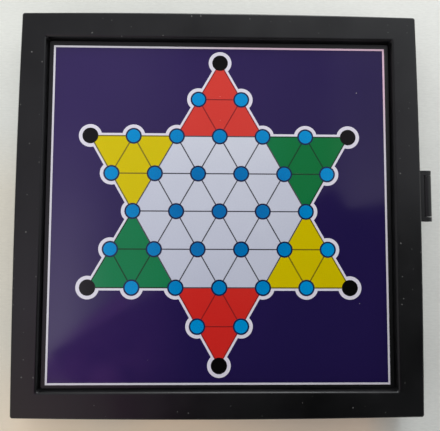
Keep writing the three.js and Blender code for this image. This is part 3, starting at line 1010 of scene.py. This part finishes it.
floorLook = {
    "size": 9,
    "pale": paint(223, 224, 218),
    # paler towards the right: painted light over the shadow that the cards cast there
    "paleRightPaintedLight": paint(235, 236, 231),
    "paleTurn": (-0.06, 0.09),
    "foldShade": 0.87,               # painted shade of the deepest folds
    "weaveTurn": 8,
    "weaveStretch": (420, 1500, 1),
    "weaveNoise": {"Scale": 1.0, "Detail": 3.0},
    "weaveHeight": 0.05,        # in millimetres
    "cloudNoise": {"Scale": 22.0, "Detail": 4.0, "Roughness": 0.6},
    # painted shade, darker and warmer, on the floor by the near left of the case
    "warmLeftShade": paint(218, 213, 200),
    "leftShadeZone": (("X", -0.07, -0.085), ("X", -0.2, -0.12), ("Y", 0.04, 0.01), ("Y", -0.26, -0.12)),
    # in front of the case: a tan patch of painted shade and warmer bounce light, changing from left to
    # right
    "warmShadow": paint(214, 202, 182),
    "warmShadowRight": paint(214, 204, 192),
    "warmTurn": (-0.06, 0.06),
    "front": (("forward", -0.06, -0.1), ("forward", -0.26, -0.12), ("X", -0.2, -0.1), ("X", 0.08, 0.064)),
    "driftNoise": {"Scale": 14.0, "Detail": 1.0},
    "drift": (-0.012, 0.012),   # how far the painted patch's border wanders, in metres
    # a glow only the camera sees over that patch: painted light that lifts the case's shadow
    "glow": (0.205, 0.138, 0.092, 1),
    "shadowLiftZone": (("X", -0.1, -0.085),),
}


def stagePlane(name, place, size, turn, material):
    bpy.ops.mesh.primitive_plane_add(size=1, location=place, rotation=[radians(angle) for angle in turn])
    bpy.context.object.scale = (*size, 1)
    plane = settle(name)
    plane.data.materials.append(material)
    return plane


def makeFloor():
    # pale cloth with painted light and shade: paler to the right, darker in its folds and by the near left
    # of the case, and a tan patch in front of the case that the camera sees lifted by a painted glow
    look = floorLook
    material, tree, shader, place = newMaterial("paleCloth", Roughness=0.9, Specular_IOR_Level=0.2)
    threads = turned(tree, place, (0, 0, look["weaveTurn"]), look["weaveStretch"])
    weave = noise(tree, threads, **look["weaveNoise"])
    cloud = noise(tree, place, **look["cloudNoise"])
    drift = noise(tree, place, **look["driftNoise"])
    spot = axesOf(tree, place)
    spot["forward"] = maths(tree, "ADD", spot["Y"], between(tree, drift, *most, *look["drift"]))
    # painted shade of the cloth's folds, from the weave and cloud noise
    crest = maths(tree, "ADD", between(tree, weave, *most, 0, 0.5), between(tree, cloud, *most, 0, 0.5))
    foldShade = between(tree, crest, 0, 1, look["foldShade"], 1)
    shade = addNode(tree, "CombineColor", Red=foldShade, Green=foldShade, Blue=foldShade).outputs[0]
    # painted light: paler to the right
    pale = blendColours(tree, between(tree, spot["X"], *look["paleTurn"]), look["pale"], look["paleRightPaintedLight"])
    # painted shade by the near left of the case
    pale = blendColours(tree, zone(tree, spot, look["leftShadeZone"]), pale, look["warmLeftShade"])
    pale = blendColours(tree, 1.0, pale, shade, "MULTIPLY")
    # painted shade and bounce light in front of the case, with a camera-only glow of painted light over it
    warmShadow = blendColours(tree, between(tree, spot["X"], *look["warmTurn"]), look["warmShadow"], look["warmShadowRight"])
    front = zone(tree, spot, look["front"])
    tree.links.new(blendColours(tree, front, pale, warmShadow), shader.inputs["Base Color"])
    seen = tree.nodes.new("ShaderNodeLightPath").outputs["Is Camera Ray"]
    addGlow(tree, shader, product(tree, front, seen, zone(tree, spot, look["shadowLiftZone"])), look["glow"])
    addBump(tree, shader, maths(tree, "MULTIPLY", weave, look["weaveHeight"]))
    stagePlane("floor", (0, 0, cadLow.z), (look["size"], look["size"]), (0, 0, 0), material)


cardLook = {
    "cards": (
        {"size": (0.275, 0.341), "place": (0.0691, -0.1817, 0.215), "turn": 30, "mirroredGlow": True},
        {"size": (0.31, 0.17), "place": (0.115, -0.207, 0.11), "turn": 0},
        {"size": (0.172, 0.3362), "place": (0.1637, -0.1453, 0.217), "turn": 8},
    ),
    "shade": paint(14, 14, 15),
    "fibre": paint(22, 22, 23),
    "fibreNoise": {"Scale": 60.0, "Detail": 3.0},
    # painted reflection: the plum that the first card glows for reflected rays
    "plum": (0.6, 0.2, 0.62, 1),
    "plumZone": (("X", -0.02, -0.1),),
    "foldNoise": {"Scale": 22.0, "Detail": 2.0, "Distortion": 0.8},
    "folds": (0.35, 0.65, 0.4, 1.1),
}


def makeCards():
    # black cards that the near right of the glossy board mirrors; the first glows plum on its left for
    # reflected rays only, a painted reflection
    look = cardLook
    for number, card in enumerate(look["cards"], 1):
        name = f"blackCard{number}"
        material, tree, shader, place = newMaterial(name, Roughness=0.9)
        fibre = noise(tree, place, **look["fibreNoise"])
        tree.links.new(blendColours(tree, fibre, look["shade"], look["fibre"]), shader.inputs["Base Color"])
        # painted reflection: a plum glow that only reflected rays see
        if card.get("mirroredGlow"):
            folds = noise(tree, place, **look["foldNoise"])
            mirrored = tree.nodes.new("ShaderNodeLightPath").outputs["Is Glossy Ray"]
            left = zone(tree, axesOf(tree, place), look["plumZone"])
            share = product(tree, left, between(tree, folds, *look["folds"]), mirrored)
            addGlow(tree, shader, share, look["plum"])
        piece = stagePlane(name, card["place"], card["size"], (0, 0, card["turn"]), material)
        piece.visible_camera = False


def seenOrMirrored(tree):
    rays = tree.nodes.new("ShaderNodeLightPath").outputs
    seen = maths(tree, "MAXIMUM", rays["Is Camera Ray"], rays["Is Glossy Ray"])
    return maths(tree, "MAXIMUM", seen, rays["Is Transmission Ray"])


ceilingLook = {
    "size": (2.6, 2.6),
    "place": (0, 0.1, 1.1),
    "shed": 1.12,               # the light that it sheds: what the board mirrors starts from level
    "level": 0.27,
    "driftNoise": {"Scale": 4.0, "Detail": 2.0},
    "drift": (-0.05, 0.05),
    "slant": 1.05,              # lean is X less this much of Y
    "areas": {                  # what each area adds to level, and its zone
        "left": (0.2, (("X", -0.05, -0.24),)),
        "nearLeft": (
            1.1, (("X", -0.28, -0.41), ("X", -0.62, -0.5), ("Y", 0.36, -0.25), ("lean", -0.08, -0.135)),
        ),
        "nearFront": (0.5, (("X", -0.25, -0.4), ("Y", -0.36, -0.46))),
        "right": (0.14, (("X", 0.33, 0.38),)),
        "farRight": (0.24, (("X", 0.32, 0.42), ("X", 0.66, 0.52), ("Y", 0.45, 0.15))),
        "outerRight": (0.75, (("X", 0.6, 0.8), ("Y", -0.45, -0.05))),
        "outerBack": (0.42, (("Y", 0.6, 0.75), ("X", -0.05, 0.2))),
        "outerLeft": (-0.27, (("X", -0.5, -0.65),)),
    },
    "outer": (("X", 0.58, 0.66), ("X", -0.5, -0.6), ("Y", 0.56, 0.64)),
    "plumZone": (("X", -0.18, -0.26), ("lean", -0.125, -0.085), ("Y", -0.1, -0.16)),
    "tint": (1.0, 1.0, 1.0, 1),
    "mirroredTint": (1.0, 0.9, 1.06, 1),
    "outerTint": (0.93, 0.99, 1.02, 1),
    "plumTint": (1.25, 0.52, 1.45, 1),
    "frontTint": (1.1, 0.9, 0.72, 1),
}


def makeCeiling():
    # dim panel overhead, which is what the board mirrors: brighter over the left and over the far right
    look = ceilingLook
    material = bpy.data.materials.new("ceilingGlow")
    material.use_nodes = True
    tree = material.node_tree
    tree.nodes.clear()
    place = tree.nodes.new("ShaderNodeTexCoord").outputs["Object"]
    spot = axesOf(tree, place)
    spot["lean"] = maths(tree, "SUBTRACT", spot["X"], maths(tree, "MULTIPLY", spot["Y"], look["slant"]))
    drift = noise(tree, place, **look["driftNoise"])
    level = maths(tree, "ADD", look["level"], between(tree, drift, *most, *look["drift"]))
    inside = {}
    for area, (added, spans) in look["areas"].items():
        inside[area] = zone(tree, spot, spans)
        level = maths(tree, "ADD", level, maths(tree, "MULTIPLY", inside[area], added))
    outer = 0.0
    for span in look["outer"]:
        outer = maths(tree, "MAXIMUM", outer, zone(tree, spot, (span,)))
    shown = seenOrMirrored(tree)
    tint = blendColours(tree, outer, look["mirroredTint"], look["outerTint"])
    tint = blendColours(tree, zone(tree, spot, look["plumZone"]), tint, look["plumTint"])
    tint = blendColours(tree, inside["nearFront"], tint, look["frontTint"])
    tint = blendColours(tree, shown, look["tint"], tint)
    strength = between(tree, shown, 0, 1, look["shed"], level)
    glow = addNode(tree, "Emission", Color=tint, Strength=strength)
    tree.links.new(glow.outputs[0], tree.nodes.new("ShaderNodeOutputMaterial").inputs["Surface"])
    stagePlane("ceiling", look["place"], look["size"], (180, 0, 0), material)


windowLook = {"from": (0.09, 0.95, 0.45), "spread": 21, "strength": 1.3, "tint": (0.96, 0.98, 1.0)}


def placeInScene(name, data, place):
    holder = bpy.data.objects.new(name, data)
    bpy.context.scene.collection.objects.link(holder)
    holder.location = place
    return holder


def makeWindow():
    # broad soft light from a far window at the back
    lamp = bpy.data.lights.new("window", "SUN")
    lamp.angle = radians(windowLook["spread"])
    lamp.energy = windowLook["strength"]
    lamp.color = windowLook["tint"]
    holder = placeInScene("window", lamp, windowLook["from"])
    holder.rotation_euler = (-Vector(windowLook["from"])).to_track_quat("-Z", "Y").to_euler()


airLook = {"shed": 1.0, "mirrored": 0.5, "tint": (0.98, 0.99, 1.0, 1)}


def makeWorld():
    # pale room all round
    world = bpy.data.worlds.new("studioAir")
    bpy.context.scene.world = world
    world.use_nodes = True
    tree = world.node_tree
    air = tree.nodes["Background"]
    air.inputs["Color"].default_value = airLook["tint"]
    strength = between(tree, seenOrMirrored(tree), 0, 1, airLook["shed"], airLook["mirrored"])
    tree.links.new(strength, air.inputs["Strength"])


viewpoint = {
    "place": (-3.148 * mm, -12.495 * mm, 194.635 * mm),
    "turn": (3.5118, -1.1048, 0.2182),
    "lens": 36.0,
    "sensor": 36.0,
    "nearest": 0.01,
}


def makeCamera():
    lens = bpy.data.cameras.new("camera")
    lens.lens = viewpoint["lens"]
    lens.sensor_width = viewpoint["sensor"]
    lens.clip_start = viewpoint["nearest"]
    camera = placeInScene("camera", lens, viewpoint["place"])
    camera.rotation_euler = [radians(angle) for angle in viewpoint["turn"]]
    bpy.context.scene.camera = camera


makeFloor()
makeCards()
makeCeiling()
makeWindow()
makeWorld()
makeCamera()
bpy.context.scene.view_settings.view_transform = "Standard"
print("studio ready")
